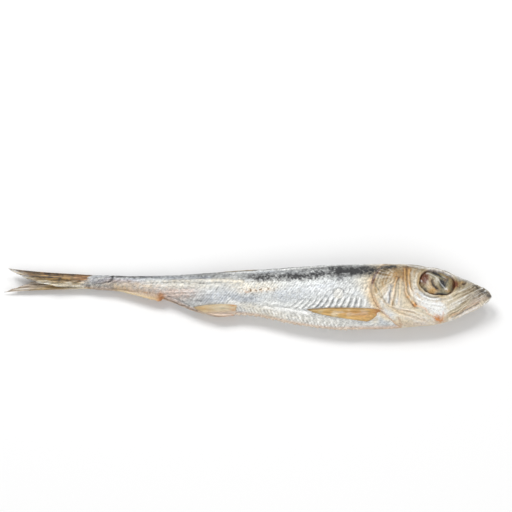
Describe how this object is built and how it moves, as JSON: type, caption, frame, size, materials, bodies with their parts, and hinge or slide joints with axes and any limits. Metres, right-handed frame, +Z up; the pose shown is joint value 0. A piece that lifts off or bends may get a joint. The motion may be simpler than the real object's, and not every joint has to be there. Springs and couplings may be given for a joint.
{
  "type": "dried salted capelin",
  "caption": "Whole small dried fish lying on its flank, with folded fins, a forked tail, shrunken eyes and a flat spot to rest on.",
  "frame": {"origin": "middle of the fish's length and depth, on the surface it lies on", "axes": "+X towards the snout, +Y towards the back, +Z up, out of the flank that shows"},
  "size_m": [0.165, 0.0224, 0.0111],
  "materials": {
    "silver_skin": "dry silver-grey fish skin with a faint sheen, dark on the back, cream and gold on the head",
    "fin": "dry amber fin membrane over fine rays",
    "eye": "shrunken eye, gold and grey-green with a satin film"
  },
  "bodies": {
    "root": {"dried_fish": "silver_skin"}
  },
  "joints": []
}
